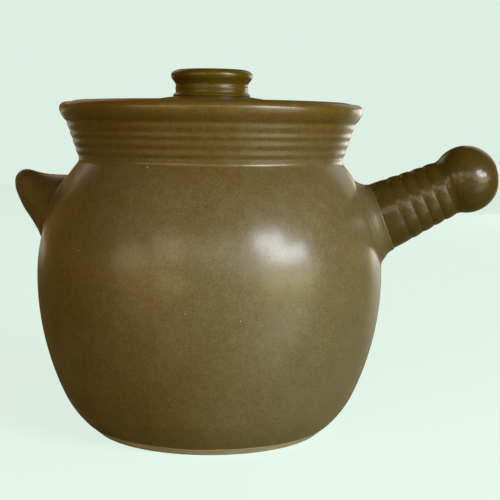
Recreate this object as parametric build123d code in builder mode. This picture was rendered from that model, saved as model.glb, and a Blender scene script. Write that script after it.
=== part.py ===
"""Glazed stoneware soup pot with one long handle, a lifting lug and a loose lid.

All sizes are in millimetres. The pot stands on its flat foot with its axis on +Z and the
floor at Z = 0. The handle points along +X and the lifting lug along -X.
"""

import os
from math import cos, radians, sin, sqrt, tan

from build123d import *

os.makedirs("parts", exist_ok=True)

# Belly of the pot
belly_radius = 114.2
belly_height = 103.0
heel_inset = 16.5
heel_height = 26.7
foot_inset = 38.4
foot_edge_round = 1.2
wall = 7.0
floor_thickness = 8.0
floor_corner_round = 14.0

# Neck with its four throwing ribs
waist_inset = 27.5
shoulder_height = 73.8
waist_fillet = 5.0
neck_flare = 17.2
neck_plain_height = 5.0
neck_rib_count = 4
neck_rib_pitch = 5.1
neck_rib_depth = 0.28

# Rolled rim above the ribs
lip_flare = 36.0
lip_overhang = 4.94
lip_roll_radius = 8.0
lip_rise = 5.2
rim_width = 14.0
lip_corner_in_share = 0.235
lip_corner_up_share = 0.85
lip_crest_share = 0.68
lip_inner_drop_share = 0.73

# Gallery inside the rim, with the ledge that carries the lid
gallery_depth = 17.5
ledge_width = 8.5
ledge_round = 1.5
mouth_round = 4.0

# Lid
seat_gap = 0.3
lid_clearance = 2.0
lid_edge_height = 4.6
lid_edge_round = 1.6
lid_rise = 17.4
lid_thickness = 6.0
skirt_clearance = 2.0
skirt_thickness = 5.5
skirt_depth = 9.0
skirt_round = 1.8

# Knob on the lid
knob_height = 17.6
knob_neck_radius = 24.0
knob_neck_waist = 0.4
knob_flange_height = 2.6
knob_flange_reach = 1.2
knob_lip_height = 8.6
knob_lip_reach = 2.9
knob_undercut_share = 0.3
knob_widest_share = 0.57
knob_crest_in_share = 0.14
knob_rim_width = 7.9
knob_recess_depth = 11.5
knob_recess_round = 3.0

# Hollow handle with finger ribs and a bulb end
handle_drop = 35.6
handle_tilt = 25.1
handle_wall = 6.0
handle_root_radius = 22.6
handle_narrowing = 4.5
handle_plain_length = 17.0
handle_rib_count = 4
handle_rib_pitch = 8.4
handle_rib_depth = 0.6
handle_neck_length = 3.5
handle_neck_fillet = 6.0
bulb_swell = 3.5
vent_radius = 2.0
vent_place = 13.0

# Tooled collar that lutes the handle to the belly
collar_tilt = 19.0
collar_height = 6.2
collar_ridge_reach = 0.9
collar_foot_reach = 7.6
collar_hollow = 1.6
collar_ring_count = 3
collar_ring_depth = 0.35

# Blunt lifting lug opposite the handle
lug_drop = 33.9
lug_root_tilt = 17.0
lug_root_half_height = 26.0
lug_root_half_width = 26.0
lug_nose_out = 21.0
lug_nose_rise = 20.1
lug_nose_radius = 8.2
lug_nose_tilt = 37.0
lug_middle_tilt = 20.0
lug_middle_out_share = 0.58
lug_middle_rise_share = 0.545
lug_middle_half_height = 15.7
lug_middle_half_width = 13.5

# Clay band worked round the lug's root
band_buried_reach = 14.0
band_length_share = 0.3
band_step = 0.8

# How far a luted piece runs into the pot before it is trimmed to the outer surface
root_overrun = 12.0

# Levels and radii that follow from the sizes above
heel_radius = belly_radius - heel_inset
foot_radius = belly_radius - foot_inset
waist_radius = belly_radius - waist_inset
waist_height = belly_height + shoulder_height
widest = (belly_radius, belly_height)
heel = (heel_radius, heel_height)
foot = (foot_radius, 0)
waist = (waist_radius, waist_height)


def upright_arc(start, end):
    """Centre and radius of the arc that leaves `start` upright and passes through `end`."""
    across = start[0] - end[0]
    along = start[1] - end[1]
    radius = (across**2 + along**2) / (2 * across)
    return (start[0] - radius, start[1]), radius


shoulder_centre, shoulder_radius = upright_arc(widest, waist)
belly_centre, lower_radius = upright_arc(widest, heel)


def shoulder_at(height):
    """Radius of the shoulder's outer surface at a height."""
    return shoulder_centre[0] + sqrt(shoulder_radius**2 - (height - shoulder_centre[1]) ** 2)


def corner(sketch, point):
    """The vertex of the sketch that stands at the point."""
    return sketch.vertices().sort_by_distance(Vector(*point))[0]


flare_slope = tan(radians(neck_flare))
ribs_base_height = waist_height + neck_plain_height
neck_top_height = ribs_base_height + neck_rib_count * neck_rib_pitch
neck_top_radius = waist_radius + (neck_top_height - waist_height) * flare_slope

rim_radius = neck_top_radius + lip_overhang
lip_cos, lip_sin = cos(radians(lip_flare)), sin(radians(lip_flare))
lip_centre_radius = rim_radius - lip_roll_radius
lip_centre_height = neck_top_height + (
    (lip_centre_radius - neck_top_radius) * lip_cos + lip_roll_radius
) / lip_sin
lip_start = (
    lip_centre_radius + lip_roll_radius * lip_cos,
    lip_centre_height - lip_roll_radius * lip_sin,
)
lip_widest = (rim_radius, lip_centre_height)
rim_height = lip_centre_height + lip_rise
lip_corner = (
    rim_radius - rim_width * lip_corner_in_share,
    lip_centre_height + lip_rise * lip_corner_up_share,
)
lip_crest = (rim_radius - rim_width * lip_crest_share, rim_height)

gallery_radius = rim_radius - rim_width
gallery_top = (gallery_radius, rim_height - lip_rise * lip_inner_drop_share)
ledge_height = rim_height - gallery_depth
mouth_radius = gallery_radius - ledge_width
mouth_low_height = shoulder_centre[1] + sqrt(
    (shoulder_radius - wall) ** 2 - (mouth_radius - shoulder_centre[0]) ** 2
)


def neck_point(half_ribs):
    """A point on the neck's cone, a number of half ribs above the bottom of the first groove."""
    height = ribs_base_height + half_ribs * neck_rib_pitch / 2
    return (waist_radius + (height - waist_height) * flare_slope, height)


def draw_outer_side():
    """Draws the pot's outer side from the foot to the inner edge of the rolled rim."""
    lower = TangentArc(widest, heel, tangent=(0, -1))
    TangentArc(heel, foot, tangent=lower % 1)
    TangentArc(widest, waist, tangent=(0, 1))
    Line(waist, neck_point(-1 / 2))
    for half_rib in range(2 * neck_rib_count):
        bulge = -neck_rib_depth / 2 if half_rib % 2 else neck_rib_depth / 2
        SagittaArc(neck_point(half_rib - 1 / 2), neck_point(half_rib + 1 / 2), bulge)
    Line(neck_point(2 * neck_rib_count - 1 / 2), neck_point(2 * neck_rib_count))
    Line(neck_point(2 * neck_rib_count), lip_start)
    TangentArc(lip_widest, lip_start, tangent=(0, -1))
    lip_side = TangentArc(lip_widest, lip_corner, tangent=(0, 1))
    lip_crown = TangentArc(lip_corner, lip_crest, tangent=lip_side % 1)
    TangentArc(lip_crest, gallery_top, tangent=lip_crown % 1)


# The pot's outer form, filled, which trims every piece that is luted to it
with BuildPart() as core:
    with BuildSketch(Plane.XZ) as core_profile:
        with BuildLine():
            draw_outer_side()
            Polyline(gallery_top, (0, gallery_top[1]), (0, 0), foot)
        make_face()
        fillet(corner(core_profile.sketch_local, foot), foot_edge_round)
        fillet(corner(core_profile.sketch_local, waist), waist_fillet)
    revolve(axis=Axis.Z)

# Pot body: one wall from the foot to the rolled rim
lower_arc = TangentArc(widest, heel, tangent=(0, -1))
foot_arc = TangentArc(heel, foot, tangent=lower_arc % 1)
inner_widest = (belly_radius - wall, belly_height)
lower_inner_share = (lower_radius - wall) / lower_radius
inner_heel = (
    belly_centre[0] + (heel_radius - belly_centre[0]) * lower_inner_share,
    belly_centre[1] + (heel_height - belly_centre[1]) * lower_inner_share,
)
foot_centre = foot_arc.arc_center
floor_drop = floor_thickness - foot_centre.Y
inner_floor = (
    foot_centre.X + sqrt((foot_arc.radius - wall) ** 2 - floor_drop**2),
    floor_thickness,
)
mouth_low = (mouth_radius, mouth_low_height)
ledge_inner = (mouth_radius, ledge_height)
ledge_outer = (gallery_radius, ledge_height)

with BuildPart() as pot_body:
    with BuildSketch(Plane.XZ) as pot_profile:
        with BuildLine():
            draw_outer_side()
            Polyline(foot, (0, 0), (0, floor_thickness), inner_floor)
            lower_inner = TangentArc(inner_widest, inner_heel, tangent=(0, -1))
            TangentArc(inner_heel, inner_floor, tangent=lower_inner % 1)
            TangentArc(inner_widest, mouth_low, tangent=(0, 1))
            Polyline(mouth_low, ledge_inner, ledge_outer, gallery_top)
        make_face()
        fillet(corner(pot_profile.sketch_local, foot), foot_edge_round)
        fillet(corner(pot_profile.sketch_local, inner_floor), floor_corner_round)
        fillet(corner(pot_profile.sketch_local, waist), waist_fillet)
        fillet(corner(pot_profile.sketch_local, mouth_low), mouth_round)
        fillet(corner(pot_profile.sketch_local, ledge_inner), ledge_round)
        fillet(corner(pot_profile.sketch_local, ledge_outer), ledge_round)
    revolve(axis=Axis.Z)
pot_body.part.label = "pot_body"
export_step(pot_body.part, "parts/pot_body.step")

# Lid: a dome with a flat flange on the ledge and a skirt that finds the mouth
lid_radius = gallery_radius - lid_clearance
lid_seat_height = ledge_height + seat_gap
lid_edge_top = (lid_radius, lid_seat_height + lid_edge_height)
lid_apex = lid_edge_top[1] + lid_rise
dome_radius = (lid_radius**2 + lid_rise**2) / (2 * lid_rise)
dome_centre = lid_apex - dome_radius
skirt_radius = mouth_radius - skirt_clearance
skirt_inner_radius = skirt_radius - skirt_thickness
skirt_foot_height = lid_seat_height - skirt_depth


def dome_at(radius, inset=0):
    """Height of the lid's dome at a radius, `inset` below its top surface."""
    return dome_centre + sqrt((dome_radius - inset) ** 2 - radius**2)


skirt_top = (skirt_inner_radius, dome_at(skirt_inner_radius, lid_thickness))

with BuildPart() as lid:
    with BuildSketch(Plane.XZ) as lid_profile:
        with BuildLine():
            TangentArc((0, lid_apex), lid_edge_top, tangent=(1, 0))
            TangentArc((0, lid_apex - lid_thickness), skirt_top, tangent=(1, 0))
            Line((0, lid_apex), (0, lid_apex - lid_thickness))
            Polyline(
                lid_edge_top,
                (lid_radius, lid_seat_height),
                (skirt_radius, lid_seat_height),
                (skirt_radius, skirt_foot_height),
                (skirt_inner_radius, skirt_foot_height),
                skirt_top,
            )
        make_face()
        fillet(corner(lid_profile.sketch_local, lid_edge_top), lid_edge_round)
        fillet(corner(lid_profile.sketch_local, (lid_radius, lid_seat_height)), lid_edge_round)
        fillet(corner(lid_profile.sketch_local, (skirt_radius, skirt_foot_height)), skirt_round)
        fillet(corner(lid_profile.sketch_local, (skirt_inner_radius, skirt_foot_height)), skirt_round)
    revolve(axis=Axis.Z)
lid.part.label = "lid"
export_step(lid.part, "parts/lid.step")

# Knob: a thrown ring with a rolled lip, standing on the dome
knob_flange_radius = knob_neck_radius + knob_flange_reach
knob_base_height = dome_at(knob_flange_radius)
knob_top = knob_base_height + knob_height
knob_lip_base = knob_top - knob_lip_height
knob_lip_radius = knob_neck_radius + knob_lip_reach
knob_undercut = (
    knob_lip_radius - knob_lip_reach * knob_undercut_share,
    knob_lip_base + knob_lip_height * knob_undercut_share,
)
knob_widest = (knob_lip_radius, knob_lip_base + knob_lip_height * knob_widest_share)
knob_crest = (knob_lip_radius - knob_rim_width / 2, knob_top)
recess_radius = knob_lip_radius - knob_rim_width
recess_floor = knob_top - knob_recess_depth
flange_top = (knob_neck_radius, knob_base_height + knob_flange_height)
neck_top = (knob_neck_radius, knob_lip_base)

with BuildPart() as lid_knob:
    with BuildSketch(Plane.XZ) as knob_profile:
        with BuildLine():
            TangentArc((0, lid_apex), (knob_flange_radius, knob_base_height), tangent=(1, 0))
            TangentArc(flange_top, (knob_flange_radius, knob_base_height), tangent=(1, 0))
            SagittaArc(flange_top, neck_top, knob_neck_waist)
            Line(neck_top, knob_undercut)
            Line(knob_undercut, knob_widest)
            knob_side = TangentArc(knob_widest, knob_crest, tangent=(0, 1))
            recess_top = (recess_radius, knob_top - knob_lip_height * knob_crest_in_share)
            TangentArc(knob_crest, recess_top, tangent=knob_side % 1)
            Polyline(recess_top, (recess_radius, recess_floor), (0, recess_floor), (0, lid_apex))
        make_face()
        fillet(corner(knob_profile.sketch_local, (recess_radius, recess_floor)), knob_recess_round)
    revolve(axis=Axis.Z)
lid_knob.part.label = "lid_knob"
export_step(lid_knob.part, "parts/lid_knob.step")

# Handle: its own plane has the handle's axis as local X, from the belly's surface outwards
handle_height = waist_height - handle_drop
handle_foot = (shoulder_at(handle_height), 0, handle_height)


def radial_plane(tilt):
    """Plane through the handle's foot whose local X rises from the horizontal by `tilt`."""
    along = (cos(radians(tilt)), 0, sin(radians(tilt)))
    return Plane(origin=handle_foot, x_dir=along, z_dir=(0, -1, 0))


handle_plane = radial_plane(handle_tilt)
handle_axis = Axis(handle_plane.origin, handle_plane.x_dir)
ribs_end = handle_plain_length + handle_rib_count * handle_rib_pitch
handle_taper = handle_narrowing / ribs_end
handle_neck_radius = handle_root_radius - handle_narrowing
bulb_radius = handle_neck_radius + bulb_swell
bulb_start = (ribs_end + handle_neck_length, handle_neck_radius)
bulb_place = bulb_start[0] + sqrt(bulb_radius**2 - handle_neck_radius**2)


def handle_radius_at(place):
    """Radius of the handle's tapered shaft at a distance from the belly's surface."""
    return handle_root_radius - place * handle_taper


def rib_foot(number):
    """The groove below a finger rib, counted from the belly."""
    place = handle_plain_length + number * handle_rib_pitch
    return (place, handle_radius_at(place))


root_start = (-root_overrun, handle_radius_at(-root_overrun))

with BuildPart() as handle_form:
    with BuildSketch(handle_plane) as handle_profile:
        with BuildLine():
            Polyline((bulb_place + bulb_radius, 0), (-root_overrun, 0), root_start, rib_foot(0))
            for rib in range(handle_rib_count):
                SagittaArc(rib_foot(rib), rib_foot(rib + 1), handle_rib_depth)
            Line(rib_foot(handle_rib_count), bulb_start)
            ThreePointArc(bulb_start, (bulb_place, bulb_radius), (bulb_place + bulb_radius, 0))
        make_face()
        fillet(corner(handle_profile.sketch_local, bulb_start), handle_neck_fillet)
    revolve(axis=handle_axis)

hollow_neck_radius = handle_neck_radius - handle_wall
hollow_bulb_radius = bulb_radius - handle_wall
hollow_bulb_start = (
    bulb_place - sqrt(hollow_bulb_radius**2 - hollow_neck_radius**2),
    hollow_neck_radius,
)

with BuildPart() as handle:
    add(handle_form.part)
    with BuildSketch(handle_plane):
        with BuildLine():
            Polyline(
                (bulb_place + hollow_bulb_radius, 0),
                (-root_overrun, 0),
                (-root_overrun, root_start[1] - handle_wall),
                (ribs_end, hollow_neck_radius),
                hollow_bulb_start,
            )
            ThreePointArc(
                hollow_bulb_start,
                (bulb_place, hollow_bulb_radius),
                (bulb_place + hollow_bulb_radius, 0),
            )
        make_face()
    revolve(axis=handle_axis, mode=Mode.SUBTRACT)
    vent_centre = handle_plane.from_local_coords((vent_place, 0, 0))
    with BuildSketch(Plane(origin=vent_centre, z_dir=-handle_plane.y_dir)):
        Circle(vent_radius)
    extrude(amount=handle_root_radius + root_overrun, mode=Mode.SUBTRACT)
    add(core.part, mode=Mode.SUBTRACT)
handle.part.label = "handle"
export_step(handle.part, "parts/handle.step")

# Handle root collar: a short flared ring with tooled rings, a little more level than the handle
collar_plane = radial_plane(collar_tilt)
collar_axis = Axis(collar_plane.origin, collar_plane.x_dir)
collar_ridge = (collar_height, handle_root_radius + collar_ridge_reach)
collar_foot_radius = handle_root_radius + collar_foot_reach
collar_foot_drop = collar_foot_radius**2 / (2 * shoulder_radius)
collar_foot = (-collar_foot_drop, collar_foot_radius)

with BuildPart() as handle_root_collar:
    with BuildSketch(collar_plane):
        with BuildLine():
            sweep_line = SagittaArc(collar_foot, collar_ridge, -collar_hollow, mode=Mode.PRIVATE)
            for ring in range(collar_ring_count):
                SagittaArc(
                    sweep_line @ (ring / collar_ring_count),
                    sweep_line @ ((ring + 1) / collar_ring_count),
                    collar_ring_depth,
                )
            Polyline(
                collar_ridge,
                (collar_height, 0),
                (-root_overrun, 0),
                (-root_overrun, collar_foot_radius),
                collar_foot,
            )
        make_face()
    revolve(axis=collar_axis)
    add(handle_form.part, mode=Mode.SUBTRACT)
    add(core.part, mode=Mode.SUBTRACT)
handle_root_collar.part.label = "handle_root_collar"
export_step(handle_root_collar.part, "parts/handle_root_collar.step")

# Lifting lug: rounded sections that shrink from the belly to a ball nose, pinched at the sides
lug_height = waist_height - lug_drop
lug_root_centre = Vector(-shoulder_at(lug_height), 0, lug_height)
lug_nose_centre = lug_root_centre + Vector(-lug_nose_out, 0, lug_nose_rise)
lug_middle_centre = lug_root_centre + Vector(
    -lug_nose_out * lug_middle_out_share, 0, lug_nose_rise * lug_middle_rise_share
)


def lug_plane(centre, tilt):
    """Plane of a lug section: it faces outwards along -X and is tipped up by `tilt`."""
    outwards = (-cos(radians(tilt)), 0, sin(radians(tilt)))
    return Plane(origin=centre, x_dir=(0, 1, 0), z_dir=outwards)


root_section = lug_plane(lug_root_centre, lug_root_tilt)
middle_section = lug_plane(lug_middle_centre, lug_middle_tilt)
nose_section = lug_plane(lug_nose_centre, lug_nose_tilt)

with BuildPart() as lug_form:
    with BuildSketch(root_section):
        Ellipse(lug_root_half_width, lug_root_half_height)
    with BuildSketch(middle_section):
        Ellipse(lug_middle_half_width, lug_middle_half_height)
    with BuildSketch(nose_section):
        Circle(lug_nose_radius)
    loft()
    with BuildSketch(root_section.offset(-root_overrun)):
        Ellipse(lug_root_half_width, lug_root_half_height)
    extrude(amount=root_overrun)
    with Locations(lug_nose_centre):
        Sphere(lug_nose_radius)

with BuildPart() as side_lug:
    add(lug_form.part)
    add(core.part, mode=Mode.SUBTRACT)
side_lug.part.label = "side_lug"
export_step(side_lug.part, "parts/side_lug.step")

# Lug root band: a tapered ring of clay between the lug and the belly
band_end_centre = lug_root_centre + (lug_middle_centre - lug_root_centre) * band_length_share


def part_way(low, high):
    """A size between the root section's and the middle section's, where the band ends."""
    return low + (high - low) * band_length_share


with BuildPart() as lug_root_band:
    with BuildSketch(root_section.offset(-root_overrun)):
        Ellipse(
            lug_root_half_width + band_buried_reach,
            lug_root_half_height + band_buried_reach,
        )
    with BuildSketch(lug_plane(band_end_centre, part_way(lug_root_tilt, lug_middle_tilt))):
        Ellipse(
            part_way(lug_root_half_width, lug_middle_half_width) + band_step,
            part_way(lug_root_half_height, lug_middle_half_height) + band_step,
        )
    loft()
    add(lug_form.part, mode=Mode.SUBTRACT)
    add(core.part, mode=Mode.SUBTRACT)
lug_root_band.part.label = "lug_root_band"
export_step(lug_root_band.part, "parts/lug_root_band.step")
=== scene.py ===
# %% [markdown]
# # A glazed stoneware soup pot
# The pot is thrown on a wheel: a round belly, a ribbed neck with a rolled rim, a loose domed lid with
# a ring knob, a hollow ribbed handle with a bulb end and a blunt lug on the other side. Its solids are
# loaded as a fixed frame. Every piece below is modelled finely around them and takes their place.

from math import atan2, ceil, cos, pi, radians, sin, sqrt, tan

import bpy
from mathutils import Matrix, Vector


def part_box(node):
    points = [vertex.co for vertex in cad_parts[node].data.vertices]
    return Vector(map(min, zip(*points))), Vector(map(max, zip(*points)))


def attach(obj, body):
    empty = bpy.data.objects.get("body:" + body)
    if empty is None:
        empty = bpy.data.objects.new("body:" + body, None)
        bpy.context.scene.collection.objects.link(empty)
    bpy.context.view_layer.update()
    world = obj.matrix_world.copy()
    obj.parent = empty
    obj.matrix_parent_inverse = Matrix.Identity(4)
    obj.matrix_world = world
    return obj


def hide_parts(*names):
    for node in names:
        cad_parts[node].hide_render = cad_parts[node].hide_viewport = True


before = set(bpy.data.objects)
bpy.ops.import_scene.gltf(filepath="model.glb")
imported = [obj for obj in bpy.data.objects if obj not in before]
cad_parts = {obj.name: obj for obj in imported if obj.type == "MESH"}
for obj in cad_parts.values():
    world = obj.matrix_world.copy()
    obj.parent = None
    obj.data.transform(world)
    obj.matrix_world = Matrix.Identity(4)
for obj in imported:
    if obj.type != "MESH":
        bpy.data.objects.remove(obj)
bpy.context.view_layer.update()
MM = 0.001

pot_low, pot_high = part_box("pot_body")
belly_radius = (pot_high.x - pot_low.x) / 2 / MM
rim_height = pot_high.z / MM
print(f"belly radius {belly_radius:.1f} mm, rim height {rim_height:.1f} mm")

# %% [markdown]
# ## The camera
# The photograph was taken from a little below the height of the rim, with a long lens tipped down at
# the middle of the belly, so the rim shows as a thin, nearly straight line. The pot stands left of the
# middle of the view, and its handle is turned a few degrees towards the camera. A camera could also be
# aimed with a constraint. Here matrices place it, because the turn, the tilt and the small roll of the
# picture are then plain numbers.

# %% Camera
view_turn = radians(5.5)
view_pitch = radians(6.29)
view_roll = radians(0.7)
view_distance = 0.7283
view_side_step = 0.0265
view_height = 0.199
lens_mm = 78.65

camera_data = bpy.data.cameras.new("photo_camera")
camera_data.lens = lens_mm
camera = bpy.data.objects.new("photo_camera", camera_data)
bpy.context.scene.collection.objects.link(camera)
turn = Matrix.Rotation(view_turn, 4, "Z")
aim = Matrix.Rotation(pi / 2 - view_pitch, 4, "X") @ Matrix.Rotation(view_roll, 4, "Z")
stand = Matrix.Translation((view_side_step, -view_distance, view_height))
camera.matrix_world = turn @ stand @ aim
bpy.context.scene.camera = camera
bpy.context.scene.view_settings.view_transform = "Standard"
print(f"camera {view_distance:.2f} m from the axis, lens {lens_mm:.1f} mm")

# %% [markdown]
# ## Drawing a half outline
# A thrown pot is a half outline turned about an axis. It could be sculpted from a cylinder, but a spun
# outline gives each rib and edge its exact height and radius. The outline is drawn from a few points
# that the shape needs. Between them run arcs, each leaving the last one in the direction in which it
# arrived, as a potter's rib does. A vertex is then extruded from point to point, and the Spin operator
# turns the line into the wall.

# %% Arcs and rounded corners
def smooth_run(start, heading, ends, spacing):
    """Points after `start` along arcs that each leave the last one smoothly and reach the next end."""
    points = []
    place, heading = Vector(start), Vector(heading).normalized()
    for end in ends:
        chord = Vector(end) - place
        swing = atan2(heading.x * chord.y - heading.y * chord.x, heading.dot(chord))
        straight = abs(swing) < radians(0.01)
        length = chord.length if straight else chord.length * swing / sin(swing)
        steps = ceil(length / spacing)
        for step in range(1, steps + 1):
            share = step / steps
            reach = share if straight else sin(swing * share) / sin(swing)
            turned = Matrix.Rotation(swing * share, 2) @ heading
            points.append(place + turned * chord.length * reach)
        place, heading = Vector(end), Matrix.Rotation(2 * swing, 2) @ heading
    return points


def rounded(before, corner, after, radius, steps=5):
    """Points of an arc that rounds a corner between two straight or nearly straight runs."""
    corner = Vector(corner)
    into, out = (Vector(before) - corner).normalized(), (Vector(after) - corner).normalized()
    reach = radius / tan(into.angle(out) / 2)
    start, end = corner + into * reach, corner + out * reach
    return [start] + smooth_run(start, -into, [end], (end - start).length / steps)


# %% Turn an outline into a piece
def drop_selection():
    """Leaves edit mode if it is on and deselects everything."""
    if bpy.context.object and bpy.context.object.mode != "OBJECT":
        bpy.ops.object.mode_set(mode="OBJECT")
    bpy.ops.object.select_all(action="DESELECT")


def pick(piece):
    """Selects one piece alone and makes it the active one."""
    drop_selection()
    piece.select_set(True)
    bpy.context.view_layer.objects.active = piece


def turned_piece(name, outline, steps, axis=(0, 0, 1)):
    """Extrudes a vertex along a half outline in mm and spins it about an axis through the origin."""
    places = [Vector((point[0], 0, point[1])) * MM for point in outline]
    drop_selection()
    bpy.ops.mesh.primitive_plane_add(size=2 * MM)
    piece = bpy.context.object
    piece.name = name
    bpy.ops.object.mode_set(mode="EDIT")
    bpy.ops.mesh.merge(type="CENTER")
    bpy.ops.transform.translate(value=places[0])
    for here, there in zip(places, places[1:]):
        bpy.ops.mesh.extrude_region_move(TRANSFORM_OT_translate={"value": there - here})
    bpy.ops.mesh.select_all(action="SELECT")
    bpy.ops.mesh.spin(steps=steps, angle=2 * pi, center=(0, 0, 0), axis=axis)
    bpy.ops.mesh.select_all(action="SELECT")
    bpy.ops.mesh.remove_doubles(threshold=0.01 * MM)
    bpy.ops.mesh.normals_make_consistent(inside=False)
    bpy.ops.object.mode_set(mode="OBJECT")
    bpy.ops.object.shade_smooth()
    print(f"{name}: {len(outline)} outline points, {len(piece.data.polygons)} faces")
    return piece


# %% [markdown]
# ## The pot
# The belly is three arcs: the shoulder above the widest line, a flatter arc below it, and a tight
# one round the foot. Throwing ribs ring the flared neck, as a soft ripple less than half a millimetre
# deep. A bump in the material could draw them, but the photograph shows them on the neck's outline
# too, so they are in the mesh. Above them the wall flares into a rolled lip, and inside the lip a wall
# drops to the ledge that carries the lid. The glaze ends a few millimetres above the floor, in a step.

# %% Sizes of the pot in millimetres
belly_height = 103.0
heel = (belly_radius - 16.5, 26.7)
foot_radius = belly_radius - 38.4
foot_edge = 1.2
glaze_line = 5.4
glaze_step = 0.25
waist_radius = belly_radius - 27.45
waist_height = belly_height + 74.7
waist_round = 3.6
neck_flare = radians(18.4)
neck_foot_flare = radians(13.5)
rib_valleys = [181.1, 186.6, 192.2, 196.9, 203.4]
rib_depth = 0.42
rib_steps = 12
lip_flare = radians(37.0)
lip_roll = 8.0
rim_radius = belly_radius - 14.7
lip_rise = 5.2
rim_width = 14.0
gallery_depth = 17.5
ledge_width = 8.5
ledge_round = 1.5
wall = 7.0
floor_thickness = 8.0
turn_steps = 224
print(f"foot {2 * foot_radius:.0f} mm across, waist {2 * waist_radius:.0f} mm, rim {2 * rim_radius:.0f} mm")

# %% The neck and its ribs
widest = (belly_radius, belly_height)
waist = (waist_radius, waist_height)
neck_foot = Vector((waist_radius + 1.5, waist_height + 5.4))


def neck_at(height):
    """A point on the neck's cone, above its foot, at a height."""
    return Vector((neck_foot.x + (height - neck_foot.y) * tan(neck_flare), height))


def ribs(valleys):
    """The throwing ribs: a cosine ripple on the cone, with a valley at each height of the list."""
    outwards = Vector((cos(neck_flare), -sin(neck_flare)))
    points = []
    for below, above in zip(valleys, valleys[1:]):
        for step in range(rib_steps):
            share = step / rib_steps
            lift = -rib_depth / 2 * cos(2 * pi * share)
            points.append(neck_at(below + share * (above - below)) + outwards * lift)
    return points


rib_points = ribs(rib_valleys)
last_rib = range(len(rib_points) - rib_steps, len(rib_points))
last_crest = max(last_rib, key=lambda number: rib_points[number].x)
rib_points = rib_points[: last_crest - 1]
print(f"{len(rib_valleys) - 1} ribs, {len(rib_points)} points up to the last crest")

# %% Corners of the lip and the ledge
lip_centre = Vector((rim_radius - lip_roll, rim_height - lip_rise))
lip_start = lip_centre + Vector((cos(lip_flare), -sin(lip_flare))) * lip_roll
lip_widest = lip_centre + Vector((lip_roll, 0))
lip_corner = (rim_radius - 3.7, rim_height - 1.35)
lip_crest = (rim_radius - 9.6, rim_height - 0.35)
gallery_radius = rim_radius - rim_width
gallery_top = (gallery_radius, rim_height - 3.8)
ledge_height = rim_height - gallery_depth
mouth_radius = gallery_radius - ledge_width
print(f"rim radius {rim_radius:.1f}, mouth radius {mouth_radius:.1f}, ledge at {ledge_height:.1f} mm")

# %% Outline of the pot's outside
shoulder = smooth_run(widest, (0, 1), [waist], 2.5)
foot_side = smooth_run(widest, (0, -1), [heel, (foot_radius, 0)], 2.0)
outside = [Vector((0, 0)), Vector((foot_radius * 0.5, 0))]
outside += rounded((0, 0), (foot_radius, 0), foot_side[-2], foot_edge)
for point in reversed(foot_side):
    if point.y > glaze_line:
        outside.append(point)
    elif point.y > foot_edge:
        outside.append(point - Vector((glaze_step, 0)))
outside.append(Vector(widest))
outside += [point for point in shoulder if point.y < waist_height - waist_round]
neck_rise = Vector(waist) + Vector((sin(neck_foot_flare), cos(neck_foot_flare))) * 4
outside += rounded(shoulder[-2], waist, neck_rise, waist_round, 10)
outside += smooth_run(outside[-1], (sin(neck_foot_flare), cos(neck_foot_flare)), [rib_points[0]], 0.8)
outside += rib_points[1:]
flare_heading = rib_points[-1] - rib_points[-2]
outside += smooth_run(rib_points[-1], flare_heading, [(rib_points[-1] + lip_start) / 2], 0.8)
outside += list(reversed(smooth_run(lip_widest, (0, -1), [lip_start], 1.0))) + [lip_widest]
outside += smooth_run(lip_widest, (0, 1), [lip_corner, lip_crest, gallery_top], 0.7)
print(f"outside: {len(outside)} points")

# %% Outline of the pot's inside
gallery_foot = (gallery_radius, ledge_height)
ledge_edge = (mouth_radius, ledge_height)
inner_widest = (belly_radius - wall, belly_height)
inner_heel = (heel[0] - wall * 0.91, heel[1] + wall * 0.41)
inner_low = smooth_run(inner_widest, (0, -1), [inner_heel, (foot_radius - 4, floor_thickness)], 5.0)
inner_top = (mouth_radius + 3, ledge_height - 17)
inside = rounded(gallery_top, gallery_foot, (0, ledge_height), ledge_round)
inside += rounded(gallery_foot, ledge_edge, (mouth_radius, 0), ledge_round)
inside += [Vector((mouth_radius, ledge_height - 14))]
inside += list(reversed(smooth_run(inner_widest, (0, 1), [inner_top], 4.0)))
inside += [Vector(inner_widest)] + inner_low + [Vector((0, floor_thickness))]
print(f"inside: {len(inside)} points")

# %% Turn the pot
pot = turned_piece("thrown_pot", outside + inside, turn_steps)
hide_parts("pot_body")

# %% [markdown]
# ## The lid
# The lid sits down inside the rim, so from the front only a sliver of its dome shows under the knob.
# A flat flange rests on the ledge, and a skirt below it finds the mouth. It is thrown as the pot is,
# so it is spun in the same way, and the inside of the dome and the skirt belong to the same outline.

# %% Sizes and outline of the lid
lid_low, lid_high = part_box("lid")
lid_radius = (lid_high.x - lid_low.x) / 2 / MM
lid_apex = lid_high.z / MM
lid_seat = ledge_height + 0.3
lid_edge = lid_seat + 4.6
lid_thickness = 6
skirt_radius = mouth_radius - 2.0
skirt_inner = skirt_radius - 5.5
skirt_foot = lid_low.z / MM
flange_round = 1.6
skirt_round = 1.8
dome_radius = (lid_radius**2 + (lid_apex - lid_edge) ** 2) / (2 * (lid_apex - lid_edge))


def dome_at(radius, thickness=0):
    """Height of the lid's dome at a radius, on its top or a thickness below it."""
    return lid_apex - dome_radius + sqrt((dome_radius - thickness) ** 2 - radius**2)


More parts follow.
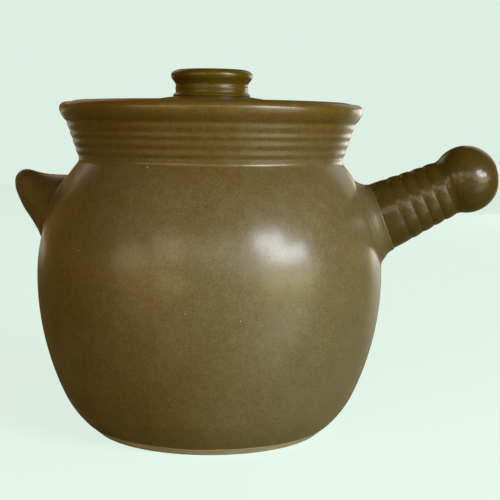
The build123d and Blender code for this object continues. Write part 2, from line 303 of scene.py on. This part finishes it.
flange_top, flange_low = (lid_radius, lid_edge), (lid_radius, lid_seat)
skirt_outer_foot, skirt_inner_foot = (skirt_radius, skirt_foot), (skirt_inner, skirt_foot)
dome = smooth_run((0, lid_apex), (1, 0), [flange_top], 3.0)
dome_middle = Vector((0, lid_apex - lid_thickness))
dome_end = (skirt_inner, dome_at(skirt_inner, lid_thickness))
lid_outline = [Vector((0, lid_apex))] + dome[:-1]
lid_outline += rounded(dome[-2], flange_top, flange_low, flange_round)
lid_outline += rounded(flange_top, flange_low, (0, lid_seat), flange_round)
lid_outline += [Vector((skirt_radius, lid_seat))]
lid_outline += rounded((skirt_radius, lid_seat), skirt_outer_foot, (0, skirt_foot), skirt_round)
lid_outline += rounded(skirt_outer_foot, skirt_inner_foot, (skirt_inner, lid_apex), skirt_round)
lid_outline += list(reversed(smooth_run(dome_middle, (1, 0), [dome_end], 4.0))) + [dome_middle]
print(f"lid {2 * lid_radius:.0f} mm across, dome radius {dome_radius:.0f} mm")

# %% Turn the lid
lid = turned_piece("domed_lid", lid_outline, 160)
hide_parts("lid")

# %% [markdown]
# ## The knob
# The knob is a thrown ring: a thin bead at its foot, a slim neck with a soft crest, and a lip that
# rolls out and over into a hollow. Its curves are too small and quick for arcs, so its side is a list
# of measured points, and a smooth curve is led through them.

# %% A curve through points
def curve_through(points, steps):
    """Points on a smooth curve through the given ones, `steps` to each gap."""
    points = [Vector(point) for point in points]
    fine = []
    for number in range(len(points) - 1):
        last = len(points) - 1
        before, start = points[max(number - 1, 0)], points[number]
        end, after = points[number + 1], points[min(number + 2, last)]
        for step in range(steps):
            u = step / steps
            fine.append(
                before * (-u + 2 * u * u - u**3) / 2
                + start * (2 - 5 * u * u + 3 * u**3) / 2
                + end * (u + 4 * u * u - 3 * u**3) / 2
                + after * (u**3 - u * u) / 2
            )
    return fine + [points[-1]]


# %% Side of the knob in millimetres
# Each point says how far it is inside the widest line and how far below the top.
knob_low, knob_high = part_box("lid_knob")
knob_top = knob_high.z / MM
knob_widest = (knob_high.x - knob_low.x) / 2 / MM
recess_radius = knob_widest - 7.9
recess_floor = knob_top - 11.5
recess_round = 3.0
bead_radius = knob_widest - 1.45
bead = [(1.3, 16.9), (1.8, 16.0), (2.5, 15.35), (3.0, 15.1), (3.1, 14.9)]
slim_neck = [(3.05, 13.8), (2.93, 12.6), (2.88, 11.9), (2.95, 11.4), (3.08, 10.8), (3.12, 10.2)]
rolled_lip = [(2.95, 9.4), (1.9, 7.7), (0.45, 5.7), (0, 3.8), (0.6, 2.0), (3.0, 0.5)]
measured = bead + slim_neck + rolled_lip
knob_side = [(knob_widest - inside_by, knob_top - drop) for inside_by, drop in measured]
knob_side += [(recess_radius + 2.2, knob_top - 0.1), (recess_radius, knob_top - 1.6)]
print(f"knob {2 * knob_widest:.0f} mm across, {len(knob_side)} measured points")

# %% Turn the knob
knob_outline = [Vector((0, lid_apex)), Vector((bead_radius / 2, dome_at(bead_radius / 2)))]
knob_outline += [Vector((bead_radius - 0.2, dome_at(bead_radius)))] + curve_through(knob_side, 6)
recess_corner = (recess_radius, recess_floor)
knob_outline += rounded((recess_radius, knob_top), recess_corner, (0, recess_floor), recess_round)
knob_outline += [Vector((0, recess_floor))]
knob = turned_piece("ring_knob", knob_outline, 128)
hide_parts("lid_knob")

# %% [markdown]
# ## The handle
# The handle is thrown hollow by itself, then luted to the belly. Its shaft narrows outwards, finger
# ribs ring its outer half, and it closes in a bulb. A sweep along a curve could make it, but it is
# straight and round, so it is spun as the pot is. The outline runs along the handle's own axis, and
# the finished piece is then tipped up and moved to its root. A closed bulb would burst in the kiln,
# so a vent hole is drilled in the shaft's underside. The hollow isn't seen, so the hole has an end.

# %% Sizes of the handle in millimetres
handle_height = 141.2
handle_sag = 0.5
handle_tilt = radians(25.1)
shoulder_inset, shoulder_drop = 27.5, 73.8
shoulder_radius = (shoulder_inset**2 + shoulder_drop**2) / (2 * shoulder_inset)
shoulder_centre = belly_radius - shoulder_radius
handle_root = shoulder_centre + sqrt(shoulder_radius**2 - (handle_height - belly_height) ** 2)
finger_grooves = [18.9, 27.2, 35.4, 43.1, 51.2]
groove_radii = [21.0, 20.1, 19.25, 18.6, 18.1]
finger_depth = 0.62
finger_steps = 14
bulb_radius = 21.9
bulb_reach = 21.45
bulb_centre = 65.7
bulb_join = 56.4
bulb_steps = 36
print(f"the handle's axis leaves the belly {handle_root:.1f} mm from the pot's")

# %% Outline of the handle
def finger_ribs():
    """Ribs that rise quickly from one groove and fall slowly to the next."""
    points = []
    for number in range(len(finger_grooves) - 1):
        start, end = finger_grooves[number : number + 2]
        low, high = groove_radii[number : number + 2]
        for step in range(finger_steps):
            share = step / finger_steps
            swell = sin(pi * share**0.82) ** 0.85
            radius = low + share * (high - low) + finger_depth * swell
            points.append(Vector((start + share * (end - start), radius)))
    return points


def bulb_at(lean):
    """A point on the bulb, at an angle from its tip."""
    return Vector((bulb_centre + cos(lean) * bulb_reach, sin(lean) * bulb_radius))


handle_outline = [Vector((-4.5, 0)), Vector((-4.5, 23.0)), Vector((4.0, 22.6)), Vector((8.0, 22.35))]
first_groove = (finger_grooves[0], groove_radii[0])
handle_outline += smooth_run((8.0, 22.35), (1, -0.04), [(14.5, 21.85), first_groove], 1.2)
handle_outline += finger_ribs()[1:]
neck_end = Vector((finger_grooves[-1], groove_radii[-1]))
bulb_lean = atan2(sqrt(bulb_radius**2 - (bulb_centre - bulb_join) ** 2), bulb_join - bulb_centre)
handle_outline += [neck_end] + smooth_run(neck_end, (1, 0.05), [bulb_at(bulb_lean)], 0.6)
handle_outline += [bulb_at(bulb_lean * (1 - step / bulb_steps)) for step in range(1, bulb_steps + 1)]
handle = turned_piece("ribbed_handle", handle_outline, 128, axis=(1, 0, 0))

# %% The vent hole under the handle
vent_radius = 2
vent_place = (13 * MM, 0, -21.5 * MM)
drill_length = 11
drop_selection()
bpy.ops.mesh.primitive_cylinder_add(
    radius=vent_radius * MM, depth=drill_length * MM, vertices=24, location=vent_place
)
drill = bpy.context.object
pick(handle)
cut = handle.modifiers.new("vent_hole", "BOOLEAN")
cut.operation = "DIFFERENCE"
cut.object = drill
bpy.ops.object.modifier_apply(modifier=cut.name)
bpy.data.objects.remove(drill)
print(f"handle with its vent hole: {len(handle.data.polygons)} faces")


# %% Lute the handle on
def place_on_belly(piece, tilt, sag):
    """Tips a piece up about Y, moves it to the handle's root and applies both to its mesh."""
    pick(piece)
    piece.rotation_euler = (0, -tilt, 0)
    piece.location = Vector((handle_root + sag * sin(tilt), 0, handle_height - sag * cos(tilt))) * MM
    bpy.ops.object.transform_apply(location=True, rotation=True, scale=True)


place_on_belly(handle, handle_tilt, handle_sag)
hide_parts("handle")
print(f"the bulb reaches x = {max(vertex.co.x for vertex in handle.data.vertices) / MM:.1f} mm")

# %% [markdown]
# ## The root collar of the handle
# A band of clay flares from the handle into the belly and carries a few faint tooling rings, less than
# a tenth of a millimetre high. It is spun about the handle's axis. The belly curves away under it, so
# its outer part is pressed onto the belly with a Shrinkwrap modifier, more and more towards the edge,
# and the flare runs out into the belly without a seam. A Boolean union would leave a hard line there.

# %% Turn the collar
collar_tilt = radians(20.5)
tooling_height = 0.07
tooling_rings = 4
collar_outline = [Vector((7.4, 20.8)), Vector((7.1, 22.45)), Vector((6.7, 22.8)), Vector((6.0, 22.9))]
flare = smooth_run((6.0, 22.9), (-1, 0.05), [(1.2, 24.6), (-3.8, 30.4)], 0.6)
for number, point in enumerate(flare):
    ring = tooling_height * sin(pi * tooling_rings * number / len(flare)) ** 2
    collar_outline.append(point + Vector((0.6, 0.8)) * ring)
collar_outline += [Vector((-4.6, 33.0)), Vector((-5.6, 36.0)), Vector((-6.8, 39.0))]
collar = turned_piece("handle_collar", collar_outline, 96, axis=(1, 0, 0))
place_on_belly(collar, collar_tilt, handle_sag)


# %% Press the collar onto the belly
def press_onto(piece, target, weight_of, lift):
    """Presses a piece onto a target: fully where `weight_of(vertex)` is 1, not at all where it is 0."""
    group = piece.vertex_groups.new(name="pressed")
    for vertex in piece.data.vertices:
        weight = weight_of(vertex)
        if weight > 0:
            group.add([vertex.index], min(weight, 1), "REPLACE")
    pick(piece)
    wrap = piece.modifiers.new("press", "SHRINKWRAP")
    wrap.target = target
    wrap.wrap_method = "NEAREST_SURFACEPOINT"
    wrap.wrap_mode = "ABOVE_SURFACE"
    wrap.offset = lift
    wrap.vertex_group = group.name
    bpy.ops.object.modifier_apply(modifier=wrap.name)
    piece.vertex_groups.clear()
    print(f"{piece.name} pressed onto {target.name}")


root_point = Vector((handle_root, 0, handle_height)) * MM
collar_axis = Vector((cos(collar_tilt), 0, sin(collar_tilt)))
free_radius = 26.0
press_width = 5.5


def collar_weight(vertex):
    """0 inside the free radius round the collar's axis, rising to 1 over the press width."""
    away = vertex.co - root_point
    distance = (away - collar_axis * away.dot(collar_axis)).length / MM
    share = (distance - free_radius) / press_width
    return share * share * (3 - 2 * share) if 0 < share < 1 else share


press_onto(collar, pot, collar_weight, 0.0)
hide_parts("handle_root_collar")

# %% [markdown]
# ## The lifting lug
# Opposite the handle a blunt solid lug is pulled out of the belly. Seen from the side its upper edge
# is nearly level and rises to the nose, and its lower edge falls steeply back to the belly. It isn't
# round, so it can't be spun. A ring of vertices is extruded along it section by section instead. Each
# section spans from the upper edge to the lower one and has its own width.

# %% Sections of the lug in millimetres: upper edge, lower edge, half width
lug_sections = [
    ((-88.0, 167.0), (-101.0, 113.0), 36.0),
    ((-98.0, 167.3), (-110.4, 119.5), 31.0),
    ((-106.0, 167.4), (-115.3, 128.3), 25.0),
    ((-113.0, 168.0), (-120.4, 136.0), 19.8),
    ((-119.0, 169.2), (-125.9, 143.4), 15.6),
    ((-123.2, 170.4), (-129.5, 150.0), 12.2),
    ((-126.6, 170.7), (-132.0, 155.6), 9.4),
    ((-129.2, 169.8), (-133.0, 159.4), 6.6),
    ((-131.2, 168.2), (-133.2, 162.3), 4.0),
    ((-132.3, 166.7), (-133.1, 164.4), 1.6),
]
section_steps = 4
ring_sides = 56


def ring_frame(section):
    """Middle, tilt of the long axis from upright, half height and half width of a section."""
    upper, lower, width = section
    rise = upper - lower
    return (upper + lower) / 2, atan2(rise.x, rise.y), rise.length / 2, width


def ring_frames(sections):
    """The frames of sections on a smooth curve through the given ones."""
    upper = curve_through([section[0] for section in sections], section_steps)
    lower = curve_through([section[1] for section in sections], section_steps)
    widths = curve_through([(section[2], 0) for section in sections], section_steps)
    return [ring_frame((top, low, width.x)) for top, low, width in zip(upper, lower, widths)]


lug_frames = ring_frames(lug_sections)
print(f"{len(lug_sections)} measured sections, {len(lug_frames)} rings")


# %% Extrude the lug
def loft(name, frames):
    """A filled ring at the first frame, extruded, turned and resized to each of the next ones."""
    middle, tilt, half_height, half_width = frames[0]
    drop_selection()
    bpy.ops.mesh.primitive_circle_add(
        vertices=ring_sides, radius=1, fill_type="NGON", rotation=(0, pi / 2, 0)
    )
    piece = bpy.context.object
    piece.name = name
    piece.scale = (half_height * MM, half_width * MM, 1)
    bpy.ops.object.transform_apply(location=False, rotation=True, scale=True)
    bpy.ops.object.mode_set(mode="EDIT")
    bpy.ops.mesh.select_all(action="SELECT")
    bpy.ops.transform.rotate(value=-tilt, orient_axis="Y", center_override=(0, 0, 0))
    bpy.ops.transform.translate(value=Vector((middle.x, 0, middle.y)) * MM)
    for place, lean, height, width in frames[1:]:
        step = Vector((place.x - middle.x, 0, place.y - middle.y)) * MM
        bpy.ops.mesh.extrude_region_move(TRANSFORM_OT_translate={"value": step})
        centre = Vector((place.x, 0, place.y)) * MM
        bpy.ops.transform.rotate(value=tilt, orient_axis="Y", center_override=centre)
        ratio = (1, width / half_width, height / half_height)
        bpy.ops.transform.resize(value=ratio, center_override=centre)
        bpy.ops.transform.rotate(value=-lean, orient_axis="Y", center_override=centre)
        middle, tilt, half_height, half_width = place, lean, height, width
    bpy.ops.mesh.select_all(action="SELECT")
    bpy.ops.mesh.normals_make_consistent(inside=False)
    bpy.ops.object.mode_set(mode="OBJECT")
    bpy.ops.object.shade_smooth()
    reach = min(vertex.co.x for vertex in piece.data.vertices) / MM
    print(f"{name}: reaches x = {reach:.1f} mm, {len(piece.data.polygons)} faces")
    return piece


lug = loft("blunt_lug", lug_frames)
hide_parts("side_lug")

# %% [markdown]
# ### The band round the lug's root
# A thin band of clay is smoothed from the lug onto the belly. It starts as one of the lug's own rings
# and spreads in a curl, back towards the belly and down. Its outer rings are pressed onto the belly as
# the collar's are, so the lug grows out of the belly with no sharp corner round it.

# %% Model the band
band_root = 9
band_gap = 0.2
band_shares = (0.0, 0.1, 0.2, 0.32, 0.45, 0.6, 0.75, 0.88, 1.0)
band_back, band_down = 12.5, 7.0
band_taller, band_wider = 10.5, 20
band_curl = 1.9
band_turn = radians(5)
band_sink = -0.05
press_curl = 2.2

middle, tilt, half_height, half_width = lug_frames[band_root]
band_frames = []
for share in band_shares:
    grown = share**band_curl
    place = middle + Vector((share * band_back, -share * band_down))
    height = half_height + band_gap + band_taller * grown
    width = half_width + band_gap + band_wider * grown
    band_frames.append((place, tilt + band_turn * share, height, width))
band = loft("lug_band", band_frames)


def band_weight(vertex):
    """0 on the band's first ring, rising to 1 on its outer two rings."""
    share = (vertex.index // ring_sides) / (len(band_frames) - 2)
    return min(share, 1) ** press_curl


press_onto(band, pot, band_weight, band_sink * MM)
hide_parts("lug_root_band")

# %% [markdown]
# ## The glaze
# The glaze is a satin olive brown. Its colour drifts between olive and rust over the pot, with patches
# of a few millimetres, a mottle of about a millimetre and a few pale and dark pinholes. Its darker
# rust low on the left is partly painted shade. A grain of a
# few hundredths of a millimetre breaks the highlights up. An image could hold all that, but noises in
# the piece's own coordinates have no seams and stay sharp at any distance. The gloss is a thin coat
# over a rougher base, as the glass is that forms on a real glaze.

# %% Helpers for materials
def add_node(tree, kind, inputs, **settings):
    """A shader node with its settings. An input that is another node's socket is linked."""
    node = tree.nodes.new("ShaderNode" + kind)
    for name, value in settings.items():
        setattr(node, name, value)
    for name, value in inputs.items():
        if isinstance(value, bpy.types.NodeSocket):
            tree.links.new(value, node.inputs[name])
        else:
            node.inputs[name].default_value = value
    return node


def parts_of(material):
    """A material's node tree, its shader and the coordinates of the piece it is on."""
    tree = material.node_tree
    place = add_node(tree, "TexCoord", {}).outputs["Object"]
    return tree, tree.nodes["Principled BSDF"], place


def sums(tree, operation, first, second):
    """Sum, product or another operation of two values."""
    return add_node(tree, "Math", {0: first, 1: second}, operation=operation).outputs["Value"]


def spread(tree, value, low, high, to_low=0, to_high=1):
    """A value between low and high spread over another range."""
    inputs = {"Value": value, "From Min": low, "From Max": high, "To Min": to_low, "To Max": to_high}
    return add_node(tree, "MapRange", inputs).outputs["Result"]


def mix_colour(tree, share, first, second):
    """A colour between two others."""
    inputs = {"Factor": share, "A": first, "B": second}
    return add_node(tree, "Mix", inputs, data_type="RGBA").outputs["Result"]


def scaled(tree, colour, factor):
    """A colour times a factor."""
    node = add_node(tree, "VectorMath", {"Vector": colour, "Scale": factor}, operation="SCALE")
    return node.outputs["Vector"]


# %% Helpers for patterns
def noise(tree, place, scale, detail=2, roughness=0.5):
    """Noise between 0 and 1 that repeats about every 1/scale metres."""
    inputs = {"Vector": place, "Scale": scale, "Detail": detail, "Roughness": roughness}
    return add_node(tree, "TexNoise", inputs).outputs["Fac"]


def waver(tree, place, scale, low, high, detail=2, roughness=0.5):
    """Noise that wavers between two values. It mostly stays between 0.3 and 0.7 by itself."""
    return spread(tree, noise(tree, place, scale, detail, roughness), 0.3, 0.7, low, high)


def dots(tree, place, spacing, radius, share):
    """1 inside small dots, one for each `share` of cells of the given spacing, else 0."""
    cells = add_node(tree, "TexVoronoi", {"Vector": place, "Scale": 1 / spacing})
    near = spread(tree, cells.outputs["Distance"], radius / spacing, radius / spacing * 0.6)
    chosen = add_node(tree, "SeparateColor", {"Color": cells.outputs["Color"]}).outputs["Red"]
    return sums(tree, "MULTIPLY", near, sums(tree, "LESS_THAN", chosen, share))


def paint_over(tree, shader, share, colour):
    """Lays another colour over the shader's, where `share` is 1."""
    under = shader.inputs["Base Color"].links[0].from_socket
    tree.links.new(mix_colour(tree, share, under, colour), shader.inputs["Base Color"])


# %% Sizes and strengths of the glaze's patterns
# Scales are repeats in a metre, and swings are how far a pattern goes to either side.
drift_scale, drift_swing = 14, 0.2
patch_scale, patch_swing = 190, 0.18
mottle_scale, mottle_swing = 820, 0.2
cloud_scale, cloud_swing = 60, 0.05
swell_scale = 110
pore_scale = 640
rough_detail = 0.6
pale_speck, pale_spacing, pale_share = (0.45, 0.36, 0.2, 1), 19 * MM, 0.8
dark_speck, dark_spacing, dark_share = (0.03, 0.02, 0.01, 1), 17 * MM, 0.4
speck_radius = 0.5 * MM
base_shine = 0.25
print(f"patches of {1000 / patch_scale:.0f} mm, mottle of {1000 / mottle_scale:.1f} mm")


# %% The glaze's recipe
def glaze(name, olive, rust, share_of_olive, roughness, coat, gloss, grain, waves):
    """A glaze between olive and rust, with drift, mottle, pinholes, grain and waves (heights in mm)."""
    material = bpy.data.materials.new(name)
    material.use_nodes = True
    tree, shader, place = parts_of(material)

    drift = waver(tree, place, drift_scale, -drift_swing, drift_swing, 3)
    patches = waver(tree, place, patch_scale, -patch_swing, patch_swing, 3, rough_detail)
    share = sums(tree, "ADD", sums(tree, "ADD", drift, patches), share_of_olive(tree, place))
    colour = mix_colour(tree, share, (*rust, 1), (*olive, 1))
    mottle = waver(tree, place, mottle_scale, 1 - mottle_swing, 1 + mottle_swing, 3, rough_detail)
    clouds = waver(tree, place, cloud_scale, 1 - cloud_swing, 1 + cloud_swing)
    colour = scaled(tree, colour, sums(tree, "MULTIPLY", mottle, clouds))
    pale = dots(tree, place, pale_spacing, speck_radius, pale_share)
    colour = mix_colour(tree, pale, colour, pale_speck)
    dark = dots(tree, place, dark_spacing, speck_radius, dark_share)
    colour = mix_colour(tree, dark, colour, dark_speck)
    tree.links.new(colour, shader.inputs["Base Color"])

    shader.inputs["Roughness"].default_value = roughness
    shader.inputs["Specular IOR Level"].default_value = base_shine
    shader.inputs["Coat Weight"].default_value = coat
    shader.inputs["Coat Roughness"].default_value = gloss

    swell = add_node(tree, "Bump", {"Height": noise(tree, place, swell_scale), "Distance": waves * MM})
    pores = {"Height": noise(tree, place, pore_scale), "Distance": grain * MM}
    bump = add_node(tree, "Bump", {**pores, "Normal": swell.outputs["Normal"]})
    tree.links.new(bump.outputs["Normal"], shader.inputs["Normal"])
    tree.links.new(bump.outputs["Normal"], shader.inputs["Coat Normal"])
    print(f"{name}: {len(tree.nodes)} nodes")
    return material


# %% Where the glaze is olive, and where it is rust and partly painted shade
middle_height, lowest, highest = 0.118, -0.002, 0.238
middle_share = 0.57
# The slope across the pot darkens the left towards rust, partly as painted shade.
sideways, lower_sideways = 0.34, 0.44
foot_rust, neck_rust = 0.12, 0.85


def fired_drift_and_left_shade(tree, place):
    """More olive to the right and low down, more rust at the neck, and darker rust low on the left as
    partly painted shade.
    """
    sides = add_node(tree, "SeparateXYZ", {"Vector": place}).outputs
    across = sums(tree, "DIVIDE", sides["X"], belly_radius * MM)
    down = spread(tree, sides["Z"], middle_height, lowest)
    up = spread(tree, sides["Z"], middle_height, highest)
    steeper = sums(tree, "MULTIPLY", lower_sideways, sums(tree, "SUBTRACT", down, up))
    # Partly painted shade: darker rust on the left, most of all low down.
    slant = sums(tree, "MULTIPLY", across, sums(tree, "ADD", sideways, steeper))
    foot_fall = sums(tree, "MULTIPLY", down, foot_rust)
    neck_fall = sums(tree, "MULTIPLY", sums(tree, "POWER", up, 2), neck_rust)
    fall = sums(tree, "ADD", foot_fall, neck_fall)
    return sums(tree, "ADD", middle_share, sums(tree, "SUBTRACT", slant, fall))


def hardly_any(tree, place):
    """No olive but for what the drift and the patches add."""
    return 0.0


# %% [markdown]
# ### Marks on the glaze
# The photograph shows where the pot was fired and handled. The left of the belly has lost gloss in
# patches, grains have burst through the glaze of the lug, the bulb has a faint broken ring where it
# touched its neighbour in the kiln, and the clay is bare at the foot. Each mark is a few nodes laid
# over the glaze, so the mark stays where it is on the piece from every side.

# %% Rubbed patches, pits and the scar
pit_colour = (0.02, 0.012, 0.006, 1)
scar_colour = (0.012, 0.008, 0.004, 1)


def rub(material, none_at=-0.02, full_at=-0.06, scale=48, gloss_left=0.35):
    """Patches on the left side where the glaze has less gloss."""
    tree, shader, place = parts_of(material)
    coat = shader.inputs["Coat Weight"].default_value
    across = add_node(tree, "SeparateXYZ", {"Vector": place}).outputs["X"]
    left = spread(tree, across, none_at, full_at)
    patch = spread(tree, noise(tree, place, scale, 4, rough_detail), 0.5, 0.56)
    rubbed = sums(tree, "MULTIPLY", left, patch)
    tree.links.new(spread(tree, rubbed, 0, 1, coat, coat * gloss_left), shader.inputs["Coat Weight"])


def pit(material, spacing=3.2 * MM, radius=0.75 * MM, share=0.45):
    """Small dark pits where grains have burst through the glaze."""
    tree, shader, place = parts_of(material)
    paint_over(tree, shader, dots(tree, place, spacing, radius, share), pit_colour)


def scar(material, centre, radius):
    """A faint broken ring where the bulb touched its neighbour in the kiln."""
    tree, shader, place = parts_of(material)
    away = add_node(tree, "VectorMath", {0: place, 1: centre}, operation="DISTANCE").outputs["Value"]
    offset = sums(tree, "SUBTRACT", away, radius)
    offset = add_node(tree, "Math", {0: offset}, operation="ABSOLUTE").outputs["Value"]
    line = spread(tree, offset, 0.6 * MM, 0.15 * MM, 0, 0.6)
    broken = spread(tree, noise(tree, place, 260), 0.44, 0.54)
    paint_over(tree, shader, sums(tree, "MULTIPLY", line, broken), scar_colour)


# %% Bare clay at the foot
clay_colour = (0.46, 0.4, 0.29)
clay_roughness = 0.85
glaze_roughness = 0.36
line_wave = 0.4 * MM
line_blur = 0.1
ring_fineness = (1, 1, 22)


def bare_foot(material, line):
    """Bare tan clay below a wavy line, with the fine rings that the wire and the sponge leave."""
    tree, shader, place = parts_of(material)
    height = add_node(tree, "SeparateXYZ", {"Vector": place}).outputs["Z"]
    wavy = sums(tree, "ADD", height, waver(tree, place, 40, -line_wave, line_wave, 3))
    bare = spread(tree, wavy, (line + line_blur) * MM, (line - line_blur) * MM)
    rings = add_node(tree, "Mapping", {"Vector": place, "Scale": ring_fineness}).outputs["Vector"]
    clay = scaled(tree, clay_colour, waver(tree, rings, 70, 0.65, 1.25, 3, rough_detail))
    paint_over(tree, shader, bare, clay)
    roughness = spread(tree, bare, 0, 1, glaze_roughness, clay_roughness)
    tree.links.new(roughness, shader.inputs["Roughness"])
    glazed = shader.inputs["Coat Weight"].links[0].from_socket
    coat = sums(tree, "MULTIPLY", glazed, spread(tree, bare, 0, 1, 1, 0))
    tree.links.new(coat, shader.inputs["Coat Weight"])


# %% Mix the glazes
pot_glaze = glaze(
    "satin_glaze", (0.137, 0.112, 0.056), (0.101, 0.061, 0.008), fired_drift_and_left_shade,
    roughness=0.4, coat=0.5, gloss=0.2, grain=0.035, waves=0.02,
)
handle_glaze = glaze(
    "glossy_glaze", (0.071, 0.053, 0.012), (0.058, 0.036, 0.006), hardly_any,
    roughness=0.32, coat=0.42, gloss=0.12, grain=0.03, waves=0.22,
)
knob_glaze = glaze(
    "amber_glaze", (0.092, 0.07, 0.005), (0.076, 0.047, 0.002), hardly_any,
    roughness=0.32, coat=0.22, gloss=0.12, grain=0.03, waves=0.05,
)
# The lug's glaze is darker than the pot's: painted shade for the belly's shadow over the lug. Its pits are
# real.
shaded_lug_glaze = glaze(
    "pitted_glaze_with_painted_shade", (0.12, 0.09, 0.04), (0.084, 0.05, 0.008), fired_drift_and_left_shade,
    roughness=0.42, coat=0.5, gloss=0.22, grain=0.035, waves=0.02,
)
collar_glaze = glaze(
    "tooled_glaze", (0.118, 0.094, 0.042), (0.09, 0.055, 0.01), fired_drift_and_left_shade,
    roughness=0.42, coat=0.15, gloss=0.26, grain=0.035, waves=0.05,
)

# %% Mark the glazes and put them on the pieces
scar_centre = Vector((168.6, -18.8, 159.5)) * MM
scar_radius = 5.0 * MM
rub(pot_glaze)
scar(handle_glaze, scar_centre, scar_radius)
pit(shaded_lug_glaze)
foot_glaze = pot_glaze.copy()
foot_glaze.name = "satin_glaze_with_foot"
bare_foot(foot_glaze, glaze_line)
for piece, material in (
    (pot, foot_glaze),
    (lid, pot_glaze),
    (collar, collar_glaze),
    (lug, shaded_lug_glaze),
    (band, pot_glaze),
    (knob, knob_glaze),
    (handle, handle_glaze),
):
    piece.data.materials.clear()
    piece.data.materials.append(material)
    print(f"{piece.name}: {material.name}")

# %% [markdown]
# ## Two bodies
# Only the lid moves, with the knob on it. Each piece is told which body it rides on, and the pot's
# pieces are luted together, so they share one.

# %% Ride on the bodies
pot_pieces = (pot, handle, collar, lug, band)
lid_pieces = (lid, knob)
for piece in pot_pieces:
    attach(piece, "pot")
for piece in lid_pieces:
    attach(piece, "lid")
print(f"{len(pot_pieces)} pieces ride on the pot, {len(lid_pieces)} on the lid")

# %% [markdown]
# ## Floor, backdrop and light
# The pot stands on a pale ground, and the gloss mirrors a dark warm room with windows on both sides of
# the camera, walls and sills under them, and weak light from behind. A picture of such a room could
# light it, but lit panels can be moved one by one until each highlight lies where the photograph has
# it. The floor and the backdrop show their pale colour to the camera alone, so their paleness doesn't
# wash over the glaze.

# %% Floor
floor_seen = (0.2, 0.24, 0.22)
floor_glow = (0.67, 0.8, 0.72)
floor_mirrored = (0.33, 0.3, 0.12)


def pale_stage(name, seen_colour, glow, own_colour):
    """A floor that shows pale and plain to the camera, and is a satin table top to all other rays."""
    material = bpy.data.materials.new(name)
    material.use_nodes = True
    tree = material.node_tree
    shader = tree.nodes["Principled BSDF"]
    path = add_node(tree, "LightPath", {}).outputs
    seen = sums(tree, "MAXIMUM", path["Is Camera Ray"], path["Is Transmission Ray"])
    colour = mix_colour(tree, seen, (*own_colour, 1), (*seen_colour, 1))
    tree.links.new(colour, shader.inputs["Base Color"])
    tree.links.new(spread(tree, seen, 0, 1, 0.28, 0.9), shader.inputs["Roughness"])
    tree.links.new(spread(tree, seen, 0, 1, 0.5, 0), shader.inputs["Specular IOR Level"])
    shader.inputs["Emission Color"].default_value = (*glow, 1)
    tree.links.new(seen, shader.inputs["Emission Strength"])
    return material


drop_selection()
bpy.ops.mesh.primitive_plane_add(size=6, location=(0, 0, 0))
floor = bpy.context.object
floor.name = "floor"
floor.data.materials.append(pale_stage("pale_floor", floor_seen, floor_glow, floor_mirrored))
print(f"floor {floor.dimensions.x:.0f} m wide")

# %% Room
room_colour = (0.8, 0.46, 0.06)
backdrop_colour = (0.72, 0.86, 0.77, 1)
low_light, high_light = 0.42, 0.06
low_edge, high_edge = -0.1, 0.6

world = bpy.data.worlds.new("room")
bpy.context.scene.world = world
world.use_nodes = True
tree = world.node_tree
direction = add_node(tree, "TexCoord", {}).outputs["Generated"]
height = add_node(tree, "SeparateXYZ", {"Vector": direction}).outputs["Z"]
brightness = spread(tree, height, low_edge, high_edge, low_light, high_light)
room = scaled(tree, room_colour, brightness)
seen = add_node(tree, "LightPath", {}).outputs["Is Camera Ray"]
colour = mix_colour(tree, seen, room, backdrop_colour)
tree.links.new(colour, tree.nodes["Background"].inputs["Color"])
print(f"room light {low_light} low down, {high_light} overhead")

# %% Lit panels
# Each has a name, an azimuth in degrees, a lower and an upper edge, a width, a brightness and a colour.
panel_distance = 2.0
panels = [
    ("window_upper", 42, 0.82, 1.22, 0.72, 20.0, (0.88, 0.95, 1.0)),
    ("window_lower", 54, 0.5, 0.82, 0.88, 21.5, (0.88, 0.95, 1.0)),
    ("window_side", 38, 0.5, 0.82, 0.35, 8.8, (1.0, 0.98, 0.87)),
    ("right_wall", 48, 0.22, 0.5, 2.3, 3.0, (0.95, 0.96, 0.82)),
    ("right_sill", 52, 0.0, 0.22, 1.3, 5.6, (1.0, 0.97, 0.52)),
    ("front_window", 2, 0.5, 1.2, 0.75, 2.1, (0.98, 0.97, 0.75)),
    ("front_right", 23, 0.5, 1.2, 0.75, 1.9, (0.98, 0.96, 0.9)),
    ("left_window", -24, 0.58, 1.15, 0.8, 3.3, (1.0, 0.86, 0.68)),
    ("left_wall", -30, 0.22, 0.55, 0.9, 1.2, (1.0, 0.7, 0.3)),
    ("left_sill", -22, 0.0, 0.22, 0.8, 3.3, (1.0, 0.76, 0.3)),
    ("far_left_window", -50, 0.3, 0.82, 0.75, 2.8, (1.0, 0.84, 0.52)),
    ("far_left_sill", -47, 0.0, 0.22, 0.6, 1.7, (1.0, 0.65, 0.25)),
    ("back_right", 147, 0.0, 0.45, 1.0, 2.4, (1.0, 1.0, 0.92)),
    ("back_left", -148, 0.0, 0.11, 0.95, 0.7, (0.94, 1.0, 0.86)),
    ("left_high", -149, 0.75, 1.7, 1.4, 0.65, (1.0, 0.8, 0.65)),
    ("right_high", 149, 0.6, 1.6, 1.2, 0.65, (0.98, 1.0, 0.98)),
]


def light_panel(name, azimuth, low, high, width, brightness, colour):
    """An upright lit panel facing the pot, at an azimuth right of the camera, between two heights."""
    lamp_data = bpy.data.lights.new(name, "AREA")
    lamp_data.shape = "RECTANGLE"
    lamp_data.size = width
    lamp_data.size_y = high - low
    lamp_data.energy = brightness * pi * width * (high - low)
    lamp_data.color = colour
    lamp = bpy.data.objects.new(name, lamp_data)
    bpy.context.scene.collection.objects.link(lamp)
    bearing = view_turn + radians(azimuth)
    outwards = Vector((sin(bearing), -cos(bearing), 0))
    lamp.location = outwards * panel_distance + Vector((0, 0, (low + high) / 2))
    lamp.rotation_euler = (-outwards).to_track_quat("-Z", "Y").to_euler()


for panel in panels:
    light_panel(*panel)
print(f"{len(panels)} panels, {panel_distance:.0f} m away")
